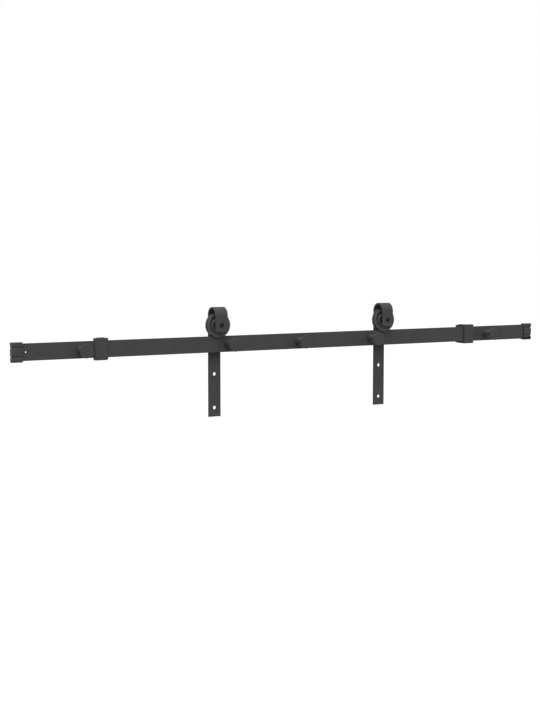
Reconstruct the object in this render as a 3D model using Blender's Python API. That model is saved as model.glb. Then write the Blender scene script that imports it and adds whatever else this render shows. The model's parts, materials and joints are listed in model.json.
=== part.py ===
"""Sliding barn door hardware: a flat rail on five spacers, two roller hangers, two stops and two end caps.

Frame: the wall is the plane Y = 0 and the room is at +Y. X runs along the rail, +Z is up, and the origin is
on the wall behind the middle of the rail. Sizes are in metres.
"""

import math

import bmesh
import bpy
from mathutils import Matrix, Vector

# ---------------------------------------------------------------- driving dimensions

SEAT_GAP = 0.0003  # between two pieces that rest on or fit round each other

RAIL_LENGTH = 1.524
RAIL_HEIGHT = 0.040
RAIL_THICKNESS = 0.005
RAIL_EDGE = 0.0005  # chamfer along the rail's edges
END_HOLE_INSET = 0.0316  # small hole in the left end only, from the rail's end
END_HOLE_RADIUS = 0.0021

SPACER_END_INSET = 0.162  # outer spacers, from the rail's ends
SPACER_PITCH = 0.387  # from an outer spacer to the next
SPACER_MIDDLE_PLACE = -0.0105
SPACER_LENGTH = 0.042
SPACER_TUBE_RADIUS = 0.0096
SPACER_FLANGE_RADIUS = 0.0168
SPACER_FLANGE_THICKNESS = 0.0035
SPACER_CHAMFER = 0.0006
SPACER_BORE_RADIUS = 0.0044

BOLT_RADIUS = 0.004
BOLT_HEAD_ACROSS_FLATS = 0.013
BOLT_HEAD_HEIGHT = 0.0053
BOLT_TIP_SETBACK = 0.0006  # the shank ends this far short of the wall
WASHER_RADIUS = 0.0095
WASHER_THICKNESS = 0.0016

CAP_LENGTH = 0.0254
CAP_END_WALL = 0.0024
CAP_SIDE_WALL = 0.0044
CAP_EDGE_WALL = 0.0026  # above and below the rail
CAP_GROOVE_HEIGHT = 0.0105  # each groove's height above or below the rail's middle
CAP_GROOVE_HALF_WIDTH = 0.0032
CAP_GROOVE_DEPTH = 0.0018
CAP_CORNER = 0.0016

STOP_END_INSET = {"left": 0.213, "right": 0.222}  # middle of each stop, from its end of the rail
STOP_WIDTH = 0.031
STOP_PLATE = 0.0042  # wall-side plate of the clip
STOP_LIP = 0.0057  # above and below the rail
STOP_ROOM_WALL = 0.003
STOP_BLOCK_REACH = 0.0165  # from the clip's room wall into the room
STOP_EDGE = 0.0007
STOP_SCREW_RADIUS = 0.003
STOP_SCREW_SPACING = 0.026
STOP_SCREW_LENGTH = 0.0175
STOP_SCREW_SOCKET = 0.003  # across flats
STOP_SCREW_SOCKET_DEPTH = 0.003
BUMPER_THICKNESS = 0.0088
BUMPER_DEPTH = 0.0125
BUMPER_HEIGHT = 0.049
BUMPER_EDGE = 0.0008

HANGER_PLACES = {"left": -0.2393, "right": 0.2552}
STRAP_WIDTH = 0.033
STRAP_THICKNESS = 0.004
STRAP_LEG_GAP = 0.0358  # clear space between the two legs
STRAP_ARCH_RISE = 0.023  # centre of the arch above the axle
STRAP_DROP = 0.1618  # bottom end below the rail's lower edge
TONGUE_END = 0.016  # lower end of the wall-side leg, below the axle
TONGUE_CORNER = 0.005
DOOR_HOLE_RADIUS = 0.0045
DOOR_HOLE_FROM_END = 0.0225
DOOR_HOLE_SPACING = 0.084

WHEEL_GROOVE_RADIUS = 0.0266
WHEEL_FLANGE_HEIGHT = 0.0044  # above the groove's floor
WHEEL_HALF_WIDTH = 0.0075
WHEEL_GROOVE_CLEARANCE = 0.0007  # each side of the rail
WHEEL_GROOVE_FLARE = 0.001  # how much wider each side of the groove is at its mouth
WHEEL_CHAMFER = 0.0008
WHEEL_RIM_WALL = 0.0023  # under the groove's floor
WHEEL_WEB_HALF_WIDTH = 0.004
WHEEL_BOSS_WALL = 0.0052  # round the bearing's seat
WHEEL_BOSS_HALF_WIDTH = 0.006

AXLE_RADIUS = 0.005
AXLE_HEAD_LIP = 0.0012  # head past the shank
AXLE_HEAD_HEIGHT = 0.0011
AXLE_HEAD_RECESS = 0.0018  # outer face of the head below the tongue's face
AXLE_SOCKET = 0.007  # across flats
AXLE_SOCKET_DEPTH = 0.004
AXLE_THREAD_PAST_NUT = 0.002
AXLE_WASHER_LIP = 0.005  # washer past the shank
AXLE_NUT_ACROSS_FLATS = 0.016
AXLE_NUT_HEIGHT = 0.008
HUB_SPACER_WALL = 0.0027

BEARING_HALF_WIDTH = 0.004
BEARING_INNER_WALL = 0.0023  # shoulder of the inner race above its bore
BEARING_RACE_GAP = 0.003  # between the two shoulders
BEARING_OUTER_WALL = 0.0024
BALL_RADIUS = 0.0024
BALL_COUNT = 8
CAGE_HALF_THICKNESS = 0.0007
CAGE_HALF_WIDTH = 0.0028

# ---------------------------------------------------------------- places that follow from them

RAIL_BACK = SPACER_LENGTH + SEAT_GAP
RAIL_FRONT = RAIL_BACK + RAIL_THICKNESS
RAIL_MIDDLE = (RAIL_BACK + RAIL_FRONT) / 2
RAIL_TOP = RAIL_HEIGHT / 2
OUTER_SPACER_PLACE = RAIL_LENGTH / 2 - SPACER_END_INSET
INNER_SPACER_PLACE = OUTER_SPACER_PLACE - SPACER_PITCH
SPACER_PLACES = (
    -OUTER_SPACER_PLACE,
    -INNER_SPACER_PLACE,
    SPACER_MIDDLE_PLACE,
    INNER_SPACER_PLACE,
    OUTER_SPACER_PLACE,
)
STOP_PLACES = {
    "left": STOP_END_INSET["left"] - RAIL_LENGTH / 2,
    "right": RAIL_LENGTH / 2 - STOP_END_INSET["right"],
}
AXLE_HEIGHT = RAIL_TOP + SEAT_GAP + WHEEL_GROOVE_RADIUS
STRAP_MID_RADIUS = (STRAP_LEG_GAP + STRAP_THICKNESS) / 2
STRAP_FACE = STRAP_LEG_GAP / 2  # inner face of a leg, from the rail's middle plane
STRAP_BACK = STRAP_FACE + STRAP_THICKNESS
AXLE_BORE = AXLE_RADIUS + SEAT_GAP
AXLE_HEAD_RADIUS = AXLE_RADIUS + AXLE_HEAD_LIP
AXLE_WASHER_RADIUS = AXLE_RADIUS + AXLE_WASHER_LIP
HUB_SPACER_RADIUS = AXLE_BORE + HUB_SPACER_WALL
BEARING_INNER_SHOULDER = AXLE_BORE + BEARING_INNER_WALL
BEARING_OUTER_SHOULDER = BEARING_INNER_SHOULDER + BEARING_RACE_GAP
BEARING_OUTER_RADIUS = BEARING_OUTER_SHOULDER + BEARING_OUTER_WALL
WHEEL_BORE = BEARING_OUTER_RADIUS + SEAT_GAP
WHEEL_BOSS_RADIUS = WHEEL_BORE + WHEEL_BOSS_WALL
WHEEL_RIM_INNER_RADIUS = WHEEL_GROOVE_RADIUS - WHEEL_RIM_WALL
WHEEL_FLANGE_RADIUS = WHEEL_GROOVE_RADIUS + WHEEL_FLANGE_HEIGHT
BALL_CIRCLE = (BEARING_OUTER_SHOULDER + BEARING_INNER_SHOULDER) / 2
STOP_ROOM_FACE = RAIL_THICKNESS / 2 + SEAT_GAP + STOP_ROOM_WALL

# ---------------------------------------------------------------- finishes


def finish(name, colour, roughness, metallic):
    """A Principled material of one plain colour."""
    material = bpy.data.materials.new(name)
    material.use_nodes = True
    shader = material.node_tree.nodes["Principled BSDF"]
    shader.inputs["Base Color"].default_value = (*colour, 1)
    shader.inputs["Roughness"].default_value = roughness
    shader.inputs["Metallic"].default_value = metallic
    return material


# ---------------------------------------------------------------- shape helpers


def clear_scene():
    for thing in list(bpy.data.objects):
        bpy.data.objects.remove(thing)


def add_object(name, shape, material, place=(0, 0, 0)):
    """Turns a bmesh into a named object at a place, with its faces turned outwards."""
    bmesh.ops.recalc_face_normals(shape, faces=shape.faces)
    mesh = bpy.data.meshes.new(name)
    shape.to_mesh(mesh)
    shape.free()
    mesh.shade_smooth()
    mesh.set_sharp_from_angle(angle=math.radians(30))
    if material:
        mesh.materials.append(material)
    thing = bpy.data.objects.new(name, mesh)
    thing.location = place
    bpy.context.scene.collection.objects.link(thing)
    return thing


def turned(profile, segments):
    """A closed (radius, y) outline turned about Y. A radius of 0 becomes one point on the axis."""
    shape = bmesh.new()
    rings = []
    for radius, y in profile:
        if radius == 0:
            rings.append([shape.verts.new((0, y, 0))] * segments)
            continue
        ring = []
        for step in range(segments):
            turn = math.tau * step / segments
            ring.append(shape.verts.new((radius * math.cos(turn), y, radius * math.sin(turn))))
        rings.append(ring)
    for first, second in zip(rings, rings[1:] + rings[:1]):
        if first[0] is first[1] and second[0] is second[1]:
            continue
        for step in range(segments):
            following = (step + 1) % segments
            corners = [first[step], first[following], second[following], second[step]]
            shape.faces.new(list(dict.fromkeys(corners)))
    return shape


def tube_profile(outer, inner, low, high):
    """Outline of a plain tube or washer, as (radius, y)."""
    return [(inner, low), (outer, low), (outer, high), (inner, high)]


def block(low, high):
    """A plain block between two corners."""
    shape = bmesh.new()
    bmesh.ops.create_cube(shape, size=1)
    size = Vector(high) - Vector(low)
    middle = (Vector(high) + Vector(low)) / 2
    bmesh.ops.transform(
        shape, matrix=Matrix.Translation(middle) @ Matrix.Diagonal((*size, 1)), verts=shape.verts
    )
    return shape


def extruded(outline, low, high, place_point):
    """An outline of (a, b) points between two depths; place_point(a, b, depth) gives each corner."""
    shape = bmesh.new()
    ends = [[shape.verts.new(place_point(a, b, depth)) for a, b in outline] for depth in (low, high)]
    shape.faces.new(ends[0])
    shape.faces.new(ends[1])
    count = len(outline)
    for step in range(count):
        following = (step + 1) % count
        shape.faces.new([ends[0][step], ends[0][following], ends[1][following], ends[1][step]])
    return shape


def add_to(shape, extra):
    """Puts a second bmesh into the first one."""
    spare = bpy.data.meshes.new("spare")
    extra.to_mesh(spare)
    extra.free()
    shape.from_mesh(spare)
    bpy.data.meshes.remove(spare)


def rod(radius, low, high, segments, x=0.0, z=0.0):
    """A round rod along Y."""
    shape = turned([(0, low), (radius, low), (radius, high), (0, high)], segments)
    bmesh.ops.translate(shape, vec=(x, 0, z), verts=shape.verts)
    return shape


def hexagon(across_flats):
    """Corner points of a hexagon with a corner straight up."""
    corner = across_flats / 2 / math.cos(math.pi / 6)
    return [
        (corner * math.sin(math.tau * step / 6), corner * math.cos(math.tau * step / 6)) for step in range(6)
    ]


def along_y(a, b, depth):
    return (a, depth, b)


def along_x(a, b, depth):
    return (depth, a, b)


def bevel(thing, width, segments=1):
    """Chamfers or rounds an object's sharp edges."""
    modifier = thing.modifiers.new("edges", "BEVEL")
    modifier.width = width
    modifier.segments = segments
    modifier.limit_method = "ANGLE"
    modifier.angle_limit = math.radians(30)


def cut(thing, cutters, operation="DIFFERENCE"):
    """Takes each cutter's shape out of an object, or joins it on, and hides the cutter."""
    for number, cutter in enumerate(cutters):
        tool = add_object(f"{thing.name}_cutter_{number}", cutter, None, thing.location)
        tool.hide_render = True
        tool.display_type = "WIRE"
        modifier = thing.modifiers.new(f"cut_{number}", "BOOLEAN")
        modifier.operation = operation
        modifier.solver = "EXACT"
        modifier.object = tool


def parent_to(parent, *things):
    """Parents things to an empty without moving them."""
    for thing in things:
        thing.location = Vector(thing.location) - Vector(parent.location)
        thing.parent = parent


def empty_at(name, place):
    marker = bpy.data.objects.new(name, None)
    marker.empty_display_size = 0.02
    marker.location = place
    bpy.context.scene.collection.objects.link(marker)
    return marker


# ---------------------------------------------------------------- rail and what holds it


def make_rail(material):
    half = Vector((RAIL_LENGTH, RAIL_THICKNESS, RAIL_HEIGHT)) / 2
    rail = add_object("rail", block(-half, half), material, (0, RAIL_MIDDLE, 0))
    bevel(rail, RAIL_EDGE)
    low, high = -2 * RAIL_THICKNESS, 2 * RAIL_THICKNESS
    holes = bmesh.new()
    for x in SPACER_PLACES:
        add_to(holes, rod(SPACER_BORE_RADIUS, low, high, 20, x))
    add_to(holes, rod(END_HOLE_RADIUS, low, high, 16, END_HOLE_INSET - RAIL_LENGTH / 2))
    cut(rail, [holes])


def make_spacer(number, x, material):
    tube, flange, chamfer = SPACER_TUBE_RADIUS, SPACER_FLANGE_RADIUS, SPACER_CHAMFER
    profile = [
        (SPACER_BORE_RADIUS, 0),
        (flange - chamfer, 0),
        (flange, chamfer),
        (flange, SPACER_FLANGE_THICKNESS - chamfer),
        (flange - chamfer, SPACER_FLANGE_THICKNESS),
        (tube, SPACER_FLANGE_THICKNESS),
        (tube, SPACER_LENGTH),
        (SPACER_BORE_RADIUS, SPACER_LENGTH),
    ]
    add_object(f"spacer_{number}", turned(profile, 28), material, (x, 0, 0))


def make_fixing(number, x, material):
    """The hex-head bolt and washer that hold the rail on one spacer."""
    washer_low = RAIL_FRONT + SEAT_GAP
    washer_high = washer_low + WASHER_THICKNESS
    head_low = washer_high + SEAT_GAP
    add_object(
        f"fixing_washer_{number}",
        turned(tube_profile(WASHER_RADIUS, SPACER_BORE_RADIUS, washer_low, washer_high), 20),
        material,
        (x, 0, 0),
    )
    head_high = head_low + BOLT_HEAD_HEIGHT
    bolt = add_object(
        f"fixing_bolt_{number}",
        extruded(hexagon(BOLT_HEAD_ACROSS_FLATS), head_low, head_high, along_y),
        material,
        (x, 0, 0),
    )
    shank_end = head_low + BOLT_HEAD_HEIGHT / 2
    cut(bolt, [rod(BOLT_RADIUS, BOLT_TIP_SETBACK, shank_end, 20)], "UNION")


# ---------------------------------------------------------------- end caps


def cap_outline():
    """The cap seen along the rail, as (y, z): a block with two round grooves in each broad face."""
    half_depth = RAIL_THICKNESS / 2 + SEAT_GAP + CAP_SIDE_WALL
    half_height = RAIL_HEIGHT / 2 + SEAT_GAP + CAP_EDGE_WALL
    right = [(half_depth - CAP_CORNER, -half_height), (half_depth, -half_height + CAP_CORNER)]
    for centre in (-CAP_GROOVE_HEIGHT, CAP_GROOVE_HEIGHT):
        for step in range(7):
            share = step / 6 * 2 - 1
            dip = CAP_GROOVE_DEPTH * math.cos(share * math.pi / 2) ** 2
            right.append((half_depth - dip, centre + share * CAP_GROOVE_HALF_WIDTH))
    right += [(half_depth, half_height - CAP_CORNER), (half_depth - CAP_CORNER, half_height)]
    return right + [(-y, -z) for y, z in right]


def make_end_cap(side, material):
    """A moulded cap pushed over the rail's end. Its grooves run on round its closed end."""
    sign = 1 if side == "right" else -1
    closed_end = RAIL_LENGTH / 2 + SEAT_GAP + CAP_END_WALL
    open_end = closed_end - CAP_LENGTH
    low, high = sorted((sign * open_end, sign * closed_end))
    cap = add_object(
        f"end_cap_{side}", extruded(cap_outline(), low, high, along_x), material, (0, RAIL_MIDDLE, 0)
    )
    pocket_y = RAIL_THICKNESS / 2 + SEAT_GAP
    pocket_z = RAIL_HEIGHT / 2 + SEAT_GAP
    inner, outer = sorted((sign * (open_end - CAP_END_WALL), sign * (RAIL_LENGTH / 2 + SEAT_GAP)))
    cut(cap, [block((inner, -pocket_y, -pocket_z), (outer, pocket_y, pocket_z))])


# ---------------------------------------------------------------- stops


def make_stop(side, steel, rubber, screw_coat):
    """A clip round the rail. Its room-side block carries a rubber bumper that meets the strap's edge."""
    inward = 1 if side == "left" else -1
    place = (STOP_PLACES[side], RAIL_MIDDLE, 0)
    half_width = STOP_WIDTH / 2
    half_height = RAIL_HEIGHT / 2 + SEAT_GAP + STOP_LIP
    wall_face = -(RAIL_THICKNESS / 2 + SEAT_GAP + STOP_PLATE)
    block_face = STOP_ROOM_FACE + STOP_BLOCK_REACH

    outline = [
        (-half_width, wall_face),
        (half_width, wall_face),
        (half_width, block_face),
        (0, block_face),
        (0, STOP_ROOM_FACE),
        (-half_width, STOP_ROOM_FACE),
    ]
    outline = [(inward * x, y) for x, y in outline]
    shape = extruded(outline, -half_height, half_height, lambda x, y, z: (x, y, z))
    stop = add_object(f"stop_{side}", shape, steel, place)
    bevel(stop, STOP_EDGE)
    gap_y = RAIL_THICKNESS / 2 + SEAT_GAP
    gap_z = RAIL_HEIGHT / 2 + SEAT_GAP
    cutters = [block((-STOP_WIDTH, -gap_y, -gap_z), (STOP_WIDTH, gap_y, gap_z))]
    bore = STOP_SCREW_RADIUS + SEAT_GAP
    screw_x = inward * half_width / 2
    for z in (-STOP_SCREW_SPACING / 2, STOP_SCREW_SPACING / 2):
        cutters.append(rod(bore, 0, 2 * block_face, 16, screw_x, z))
    cut(stop, cutters)

    screw_low = RAIL_THICKNESS / 2 + SEAT_GAP
    screw_high = screw_low + STOP_SCREW_LENGTH
    for level, z in (("lower", -STOP_SCREW_SPACING / 2), ("upper", STOP_SCREW_SPACING / 2)):
        screw = add_object(
            f"stop_screw_{side}_{level}",
            rod(STOP_SCREW_RADIUS, screw_low, screw_high, 16),
            screw_coat,
            (place[0] + screw_x, RAIL_MIDDLE, z),
        )
        socket_low = screw_high - STOP_SCREW_SOCKET_DEPTH
        cut(screw, [extruded(hexagon(STOP_SCREW_SOCKET), socket_low, 2 * screw_high, along_y)])

    bumper_start = half_width + SEAT_GAP
    low, high = sorted((inward * bumper_start, inward * (bumper_start + BUMPER_THICKNESS)))
    bumper = add_object(
        f"stop_bumper_{side}",
        block(
            (low, block_face - BUMPER_DEPTH, -BUMPER_HEIGHT / 2),
            (high, block_face, BUMPER_HEIGHT / 2),
        ),
        rubber,
        place,
    )
    bevel(bumper, BUMPER_EDGE, 2)


# ---------------------------------------------------------------- hangers


def strap_stations():
    """The bent strap's middle line in the hanger's own frame (origin on the axle, at the rail's middle).

    Each station is (y, z, outward y, outward z, half width), from the strap's lower end, up the room-side
    leg, over the arch and down the tongue, whose end is square with rounded corners.
    """
    half_width = STRAP_WIDTH / 2
    radius = STRAP_MID_RADIUS
    bottom = -(AXLE_HEIGHT + RAIL_HEIGHT / 2 + STRAP_DROP)
    stations = [(radius, bottom, 1, 0, half_width)]
    arch_steps = 16
    for step in range(arch_steps + 1):
        turn = math.pi * step / arch_steps
        y, z = math.cos(turn), math.sin(turn)
        stations.append((radius * y, STRAP_ARCH_RISE + radius * z, y, z, half_width))
    corner_steps = 6
    for step in range(corner_steps + 1):
        turn = math.pi / 2 * step / corner_steps
        drop = TONGUE_END - TONGUE_CORNER * (1 - math.sin(turn))
        stations.append((-radius, -drop, -1, 0, half_width - TONGUE_CORNER * (1 - math.cos(turn))))
    return stations


def strap_shape():
    shape = bmesh.new()
    half = STRAP_THICKNESS / 2
    rows = []
    for y, z, out_y, out_z, width in strap_stations():
        outer = (y + out_y * half, z + out_z * half)
        inner = (y - out_y * half, z - out_z * half)
        corners = ((-width, *outer), (width, *outer), (width, *inner), (-width, *inner))
        rows.append([shape.verts.new(corner) for corner in corners])
    for first, second in zip(rows, rows[1:]):
        for corner in range(4):
            following = (corner + 1) % 4
            shape.faces.new([first[corner], first[following], second[following], second[corner]])
    shape.faces.new(rows[0])
    shape.faces.new(rows[-1])
    return shape


def make_strap(side, material, place):
    strap = add_object(f"strap_{side}", strap_shape(), material, place)
    bottom = -(AXLE_HEIGHT + RAIL_HEIGHT / 2 + STRAP_DROP)
    recess_floor = -STRAP_BACK + AXLE_HEAD_RECESS + AXLE_HEAD_HEIGHT + SEAT_GAP
    past_room = 2 * STRAP_BACK
    axle_hole = turned(
        [
            (0, -past_room),
            (AXLE_HEAD_RADIUS + SEAT_GAP, -past_room),
            (AXLE_HEAD_RADIUS + SEAT_GAP, recess_floor),
            (AXLE_BORE, recess_floor),
            (AXLE_BORE, past_room),
            (0, past_room),
        ],
        20,
    )
    door_holes = bmesh.new()
    for number in range(2):
        z = bottom + DOOR_HOLE_FROM_END + number * DOOR_HOLE_SPACING
        add_to(door_holes, rod(DOOR_HOLE_RADIUS, 0, past_room, 20, 0, z))
    cut(strap, [axle_hole, door_holes])
    return strap


def wheel_profile():
    """Half of a double-flanged wheel's outline, then its mirror image, as (radius, y)."""
    groove = RAIL_THICKNESS / 2 + WHEEL_GROOVE_CLEARANCE
    half = [
        (WHEEL_BORE, -WHEEL_BOSS_HALF_WIDTH),
        (WHEEL_BOSS_RADIUS, -WHEEL_BOSS_HALF_WIDTH),
        (WHEEL_BOSS_RADIUS, -WHEEL_WEB_HALF_WIDTH),
        (WHEEL_RIM_INNER_RADIUS, -WHEEL_WEB_HALF_WIDTH),
        (WHEEL_RIM_INNER_RADIUS, -WHEEL_HALF_WIDTH),
        (WHEEL_FLANGE_RADIUS - WHEEL_CHAMFER, -WHEEL_HALF_WIDTH),
        (WHEEL_FLANGE_RADIUS, -WHEEL_HALF_WIDTH + WHEEL_CHAMFER),
        (WHEEL_FLANGE_RADIUS, -groove - WHEEL_GROOVE_FLARE),
        (WHEEL_GROOVE_RADIUS, -groove),
    ]
    return half + [(radius, -y) for radius, y in reversed(half)]


def raceway(base, sign):
    """A ball groove as (radius, y), sunk below a race's shoulder; sign is +1 for the outer race."""
    reach = BALL_RADIUS + SEAT_GAP
    shoulder = abs(base - BALL_CIRCLE)
    opening = math.acos(shoulder / reach)
    points = []
    for step in range(5):
        turn = opening * (step / 4 * 2 - 1)
        points.append((BALL_CIRCLE + sign * reach * math.cos(turn), reach * math.sin(turn)))
    return points


def make_bearing(side, steel, place):
    """The three parts of a ball bearing: inner race, outer race, and the balls in their cage."""
    half = BEARING_HALF_WIDTH
    inner_profile = [(AXLE_BORE, -half), (BEARING_INNER_SHOULDER, -half)]
    inner_profile += raceway(BEARING_INNER_SHOULDER, -1)
    inner_profile += [(BEARING_INNER_SHOULDER, half), (AXLE_BORE, half)]
    inner = add_object(f"bearing_inner_{side}", turned(inner_profile, 24), steel, place)
    outer_profile = [(BEARING_OUTER_RADIUS, -half), (BEARING_OUTER_SHOULDER, -half)]
    outer_profile += raceway(BEARING_OUTER_SHOULDER, 1)
    outer_profile += [(BEARING_OUTER_SHOULDER, half), (BEARING_OUTER_RADIUS, half)]
    outer = add_object(f"bearing_outer_{side}", turned(outer_profile, 32), steel, place)
    ring = tube_profile(
        BALL_CIRCLE + CAGE_HALF_THICKNESS,
        BALL_CIRCLE - CAGE_HALF_THICKNESS,
        -CAGE_HALF_WIDTH,
        CAGE_HALF_WIDTH,
    )
    cage = add_object(f"ball_cage_{side}", turned(ring, 24), steel, place)
    balls = bmesh.new()
    for number in range(BALL_COUNT):
        turn = math.tau * (number + 0.5) / BALL_COUNT
        middle = Vector((math.cos(turn), 0, math.sin(turn))) * BALL_CIRCLE
        facing = Matrix.Translation(middle) @ Matrix.Rotation(-turn, 4, "Y")
        bmesh.ops.create_uvsphere(balls, u_segments=8, v_segments=6, radius=BALL_RADIUS, matrix=facing)
    cut(cage, [balls], "UNION")
    return inner, outer, cage


def make_axle(side, steel, place):
    """The axle bolt, its washer and nut on the room side, and the two tubes that centre the bearing."""
    head_face = -STRAP_BACK + AXLE_HEAD_RECESS
    shank_start = head_face + AXLE_HEAD_HEIGHT
    washer_low = STRAP_BACK + SEAT_GAP
    nut_low = washer_low + WASHER_THICKNESS + SEAT_GAP
    nut_high = nut_low + AXLE_NUT_HEIGHT
    tip = nut_high + AXLE_THREAD_PAST_NUT
    bolt = add_object(
        f"axle_bolt_{side}",
        turned(
            [
                (0, head_face),
                (AXLE_HEAD_RADIUS, head_face),
                (AXLE_HEAD_RADIUS, shank_start),
                (AXLE_RADIUS, shank_start),
                (AXLE_RADIUS, tip),
                (0, tip),
            ],
            20,
        ),
        steel,
        place,
    )
    socket_floor = head_face + AXLE_SOCKET_DEPTH
    cut(bolt, [extruded(hexagon(AXLE_SOCKET), 2 * head_face, socket_floor, along_y)])
    washer = add_object(
        f"axle_washer_{side}",
        turned(tube_profile(AXLE_WASHER_RADIUS, AXLE_BORE, washer_low, nut_low - SEAT_GAP), 20),
        steel,
        place,
    )
    nut = add_object(
        f"axle_nut_{side}",
        extruded(hexagon(AXLE_NUT_ACROSS_FLATS), nut_low, nut_high, along_y),
        steel,
        place,
    )
    cut(nut, [rod(AXLE_BORE, 0, 2 * nut_high, 20)])
    made = [bolt, washer, nut]
    low, high = BEARING_HALF_WIDTH + SEAT_GAP, STRAP_FACE - SEAT_GAP
    for name, ends in (("wall", (-high, -low)), ("room", (low, high))):
        tube = turned(tube_profile(HUB_SPACER_RADIUS, AXLE_BORE, *ends), 20)
        made.append(add_object(f"hub_spacer_{name}_{side}", tube, steel, place))
    return made


def make_hanger(side, strap_coat, wheel_finish, axle_finish, bearing_finish):
    """One hanger. Its pieces hang from an empty on the axle, and the turning ones from a second empty."""
    place = (HANGER_PLACES[side], RAIL_MIDDLE, AXLE_HEIGHT)
    strap = make_strap(side, strap_coat, place)
    wheel = add_object(f"wheel_{side}", turned(wheel_profile(), 40), wheel_finish, place)
    inner, outer, cage = make_bearing(side, bearing_finish, place)
    carriage = empty_at(f"hanger_{side}_slide", place)
    axle = empty_at(f"wheel_{side}_axle", place)
    parent_to(axle, wheel, outer, cage)
    parent_to(carriage, strap, inner, *make_axle(side, axle_finish, place), axle)


# ---------------------------------------------------------------- the assembly

clear_scene()
powder_coat = finish("black powder coat", (0.060, 0.060, 0.061), 0.55, 0.0)
wheel_coat = finish("black wheel", (0.055, 0.055, 0.056), 0.5, 0.0)
cap_plastic = finish("black cap plastic", (0.060, 0.060, 0.061), 0.6, 0.0)
rubber = finish("black rubber", (0.030, 0.030, 0.030), 0.8, 0.0)
bolt_coat = finish("black bolt coat", (0.050, 0.050, 0.051), 0.45, 0.6)
bearing_steel = finish("bearing steel", (0.50, 0.50, 0.51), 0.25, 1.0)

make_rail(powder_coat)
for number, x in enumerate(SPACER_PLACES, start=1):
    make_spacer(number, x, powder_coat)
    make_fixing(number, x, bolt_coat)
for side in ("left", "right"):
    make_end_cap(side, cap_plastic)
    make_stop(side, powder_coat, rubber, bolt_coat)
    make_hanger(side, powder_coat, wheel_coat, bolt_coat, bearing_steel)
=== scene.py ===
# %% [markdown]
# # Sliding barn door hardware, finished for rendering
#
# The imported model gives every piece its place, its size and its motion. This file keeps those, and
# gives each piece a finely rounded mesh and a surface that looks like coated steel, moulded
# plastic, rubber or bearing steel. Every new piece stands for one node of the model and rides on
# its body.

import json
import math

import bmesh
import bpy
from mathutils import Matrix, Vector


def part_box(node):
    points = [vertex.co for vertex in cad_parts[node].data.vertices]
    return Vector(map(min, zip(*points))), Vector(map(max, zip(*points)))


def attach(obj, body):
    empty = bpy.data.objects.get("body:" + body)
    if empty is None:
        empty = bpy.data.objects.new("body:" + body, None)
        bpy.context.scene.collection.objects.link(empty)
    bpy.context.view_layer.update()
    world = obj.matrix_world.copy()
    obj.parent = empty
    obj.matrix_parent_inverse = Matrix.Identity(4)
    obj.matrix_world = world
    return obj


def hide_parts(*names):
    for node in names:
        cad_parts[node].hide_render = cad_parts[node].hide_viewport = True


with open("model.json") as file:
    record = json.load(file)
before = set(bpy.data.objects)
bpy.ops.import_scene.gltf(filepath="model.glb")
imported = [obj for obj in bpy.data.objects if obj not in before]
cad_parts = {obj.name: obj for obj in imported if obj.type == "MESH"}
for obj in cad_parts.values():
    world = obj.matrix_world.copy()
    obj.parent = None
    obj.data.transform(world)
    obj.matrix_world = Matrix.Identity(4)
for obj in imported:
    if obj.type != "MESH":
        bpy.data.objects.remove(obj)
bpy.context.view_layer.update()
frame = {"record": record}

# %% [markdown]
# ## What the frame already says
#
# A turned piece needs an axis and a few radii, and a plate needs two corners. Most of them can be
# read from the box of a node, so nothing has to be typed twice. Only what a box can't tell, such
# as the size of a bore or a fillet, is named later, in the cell that uses it. Lengths are in
# metres.

# %% Measure the frame
SIDES = ("left", "right")
SPACERS = (1, 2, 3, 4, 5)
GAP = 0.0003  # running or seating gap between two pieces


def middle(node):
    """Centre of a node's box."""
    low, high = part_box(node)
    return (low + high) / 2


def size(node):
    """Side lengths of a node's box."""
    low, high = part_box(node)
    return high - low


RAIL_MIDDLE = middle("rail").y
AXLE_HEIGHT = middle("wheel_left").z
axles = {side: Vector((middle(f"wheel_{side}").x, RAIL_MIDDLE, AXLE_HEIGHT)) for side in SIDES}
print("axles, mm:", {side: [round(1000 * c, 2) for c in place] for side, place in axles.items()})

# %% [markdown]
# ## From outline to mesh
#
# Nearly everything from a lathe or a press starts as a flat outline. Real corners are never sharp:
# a tool leaves a small radius, and powder coat rounds it further. So one helper swaps each corner
# of an outline for a short arc, and two more turn the outline round an axis or push it straight. A
# Bevel modifier could round the edges afterwards, but the arc keeps each radius exactly where it
# is wanted, and the turned piece stays an even grid of quads.

# %% Outlines with round corners
CORNER_STEPS = 4


def arc_corner(before, corner, after, radius):
    """Points of the arc that replaces one corner of an outline."""
    before, corner, after = Vector(before), Vector(corner), Vector(after)
    back, onward = before - corner, after - corner
    opening = back.angle(onward)
    if radius <= 0 or opening > math.pi - 0.001:
        return [tuple(corner)]
    reach = min(radius / math.tan(opening / 2), 0.49 * back.length, 0.49 * onward.length)
    radius = reach * math.tan(opening / 2)
    toward_centre = (back.normalized() + onward.normalized()).normalized()
    centre = corner + toward_centre * (radius / math.sin(opening / 2))
    first = corner + back.normalized() * reach - centre
    last = corner + onward.normalized() * reach - centre
    turns = [first.angle_signed(last) * step / CORNER_STEPS for step in range(CORNER_STEPS + 1)]
    return [tuple(centre + Matrix.Rotation(-turn, 2) @ first) for turn in turns]


def rounded(points, radius):
    """A closed outline with round corners. A point may carry its own radius as a third number."""
    made = []
    for index, point in enumerate(points):
        own = point[2] if len(point) > 2 else radius
        before, after = points[index - 1][:2], points[(index + 1) % len(points)][:2]
        made += arc_corner(before, point[:2], after, own)
    return made


# %% Turning and pushing
X, Y, Z = range(3)


def band(shape, first, second):
    """Faces between two rings of points. Where a ring is one point repeated, they are triangles."""
    for step in range(len(first)):
        onward = (step + 1) % len(first)
        corners = dict.fromkeys([first[step], first[onward], second[onward], second[step]])
        if len(corners) > 2:
            shape.faces.new(list(corners))


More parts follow.
